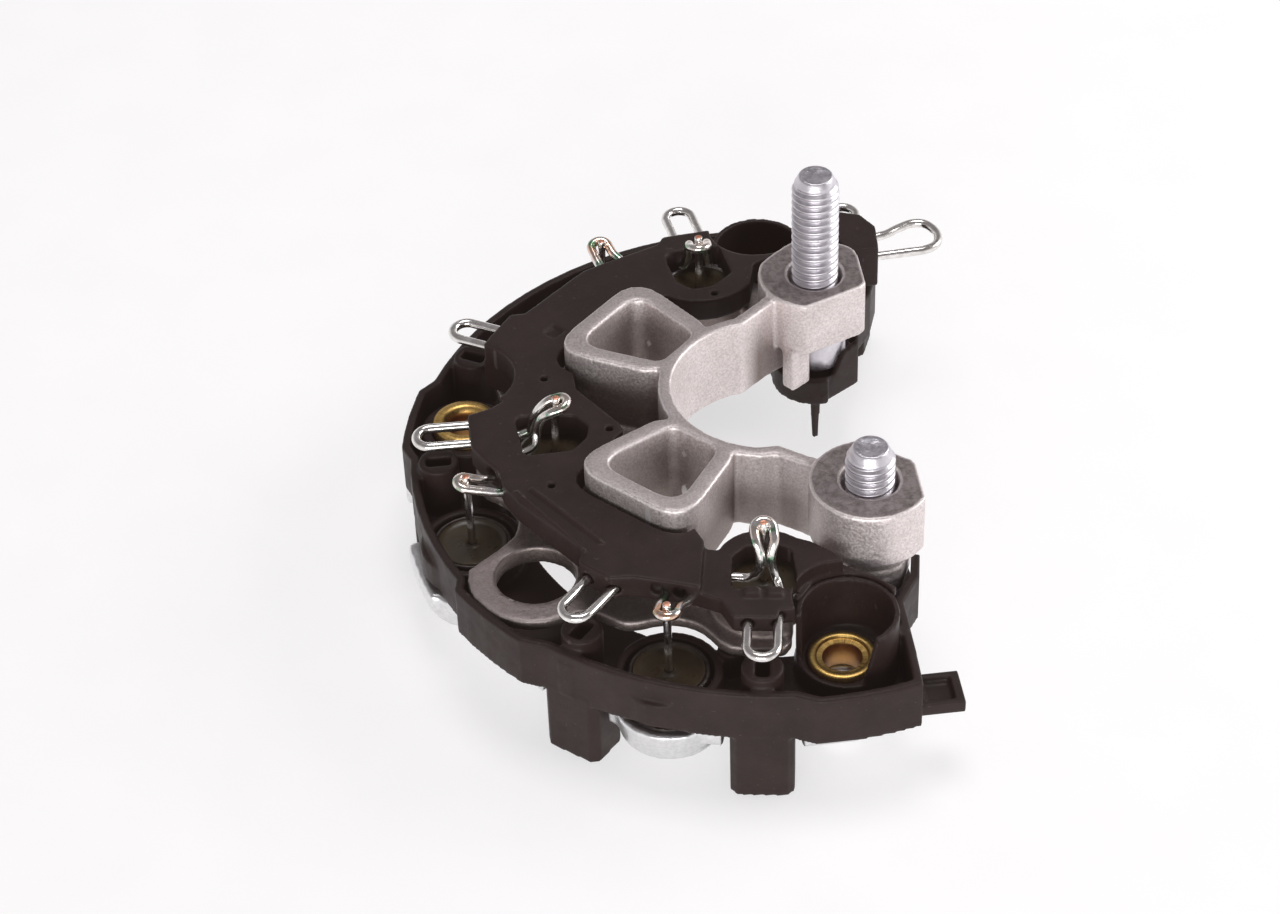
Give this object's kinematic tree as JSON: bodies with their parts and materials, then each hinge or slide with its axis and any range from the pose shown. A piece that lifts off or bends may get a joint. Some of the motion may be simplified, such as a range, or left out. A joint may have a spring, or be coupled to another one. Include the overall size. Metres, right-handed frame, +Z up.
{
  "type": "alternator rectifier",
  "caption": "C-shaped alternator rectifier: stacked aluminium heatsinks, press-fit diodes, black insulators on legs, threaded studs and wire loops.",
  "frame": {"origin": "centre of the bounding box in plan, on the surface that the legs stand on", "axes": "+Z up along the studs, +X towards the open end of the C, +Y towards the long stud"},
  "size_m": [0.0976, 0.12, 0.0552],
  "materials": {
    "cast_aluminium": "blasted die casting, satin, with machined boss tops",
    "bright_aluminium": "bright die casting",
    "black_plastic": "warm black glass-filled moulding, slight sheen",
    "tinned_copper": "bright tinned wire, copper and green tint at the welds",
    "zinc_steel": "zinc plated, rolled thread",
    "brass": "turned brass with radial scratches",
    "diode_cup": "plated cup rim",
    "potting": "dark olive potting, semi-gloss"
  },
  "bodies": {
    "root": {"positive_heatsink": "cast_aluminium", "negative_heatsink": "bright_aluminium", "insulator_housing": "black_plastic", "connection_plate": "black_plastic", "phase_loop_1": "tinned_copper", "phase_loop_2": "tinned_copper", "phase_loop_3": "tinned_copper", "phase_loop_4": "tinned_copper", "phase_loop_5": "tinned_copper", "phase_loop_6": "tinned_copper", "sense_loop": "tinned_copper", "positive_diode_joint_1": "tinned_copper", "positive_diode_cup_1": "diode_cup", "positive_diode_seal_1": "potting", "positive_diode_lead_1": "tinned_copper", "positive_diode_joint_2": "tinned_copper", "positive_diode_cup_2": "diode_cup", "positive_diode_seal_2": "potting", "positive_diode_lead_2": "tinned_copper", "positive_diode_joint_3": "tinned_copper", "positive_diode_cup_3": "diode_cup", "positive_diode_seal_3": "potting", "positive_diode_lead_3": "tinned_copper", "negative_diode_joint_1": "tinned_copper", "negative_diode_cup_1": "diode_cup", "negative_diode_seal_1": "potting", "negative_diode_lead_1": "tinned_copper", "negative_diode_joint_2": "tinned_copper", "negative_diode_cup_2": "diode_cup", "negative_diode_seal_2": "potting", "negative_diode_lead_2": "tinned_copper", "negative_diode_joint_3": "tinned_copper", "negative_diode_cup_3": "diode_cup", "negative_diode_seal_3": "potting", "negative_diode_lead_3": "tinned_copper", "screw_bush_1": "brass", "screw_bush_2": "brass", "screw_bush_3": "brass", "long_stud": "zinc_steel", "short_stud": "zinc_steel"}
  },
  "joints": []
}
